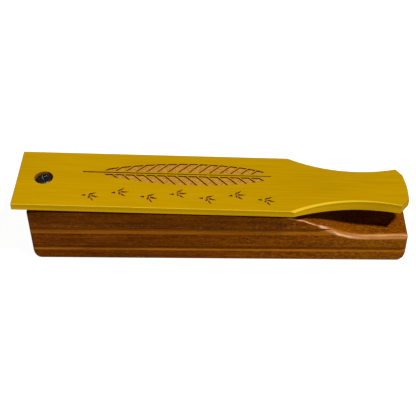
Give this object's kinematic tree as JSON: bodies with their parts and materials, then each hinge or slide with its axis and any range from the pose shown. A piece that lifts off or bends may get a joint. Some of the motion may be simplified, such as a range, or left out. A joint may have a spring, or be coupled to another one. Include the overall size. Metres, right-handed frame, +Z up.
{
  "type": "box turkey call",
  "caption": "Wooden friction box call: a routed sound box with side coves and a finger saddle under a waisted, crowned paddle lid that swings and tips on a sprung screw.",
  "frame": {"origin": "middle of the sound box's flat base", "axes": "+X from the pivot end towards the handle end, +Z up out of the base, +Y to the left of +X"},
  "size_m": [0.2373, 0.0488, 0.049],
  "materials": {
    "box_wood": "oiled satin reddish-brown hardwood",
    "lid_wood": "yellow dyed satin hardwood",
    "black_steel": "black oxide",
    "spring_steel": "bright zinc"
  },
  "bodies": {
    "box": {"sound_box": "box_wood"},
    "screw": {"pivot_screw": "black_steel"},
    "spring": {"spring": "spring_steel"},
    "lid": {"lid": "lid_wood"}
  },
  "joints": [
    {"name": "screw_turn", "type": "hinge", "parent": "box", "child": "screw", "pos_m": [-0.1061, 0, 0.03], "axis": [0, 0, 1], "range_deg": [-90, 90]},
    {"name": "lid_swing", "type": "hinge", "parent": "box", "child": "spring", "pos_m": [-0.1061, 0, 0.036], "axis": [0, 0, 1], "continuous": true},
    {"name": "lid_tip", "type": "hinge", "parent": "spring", "child": "lid", "pos_m": [-0.1061, 0, 0.0427], "axis": [0, -1, 0], "range_deg": [0, 4], "deforming": ["spring"]}
  ]
}
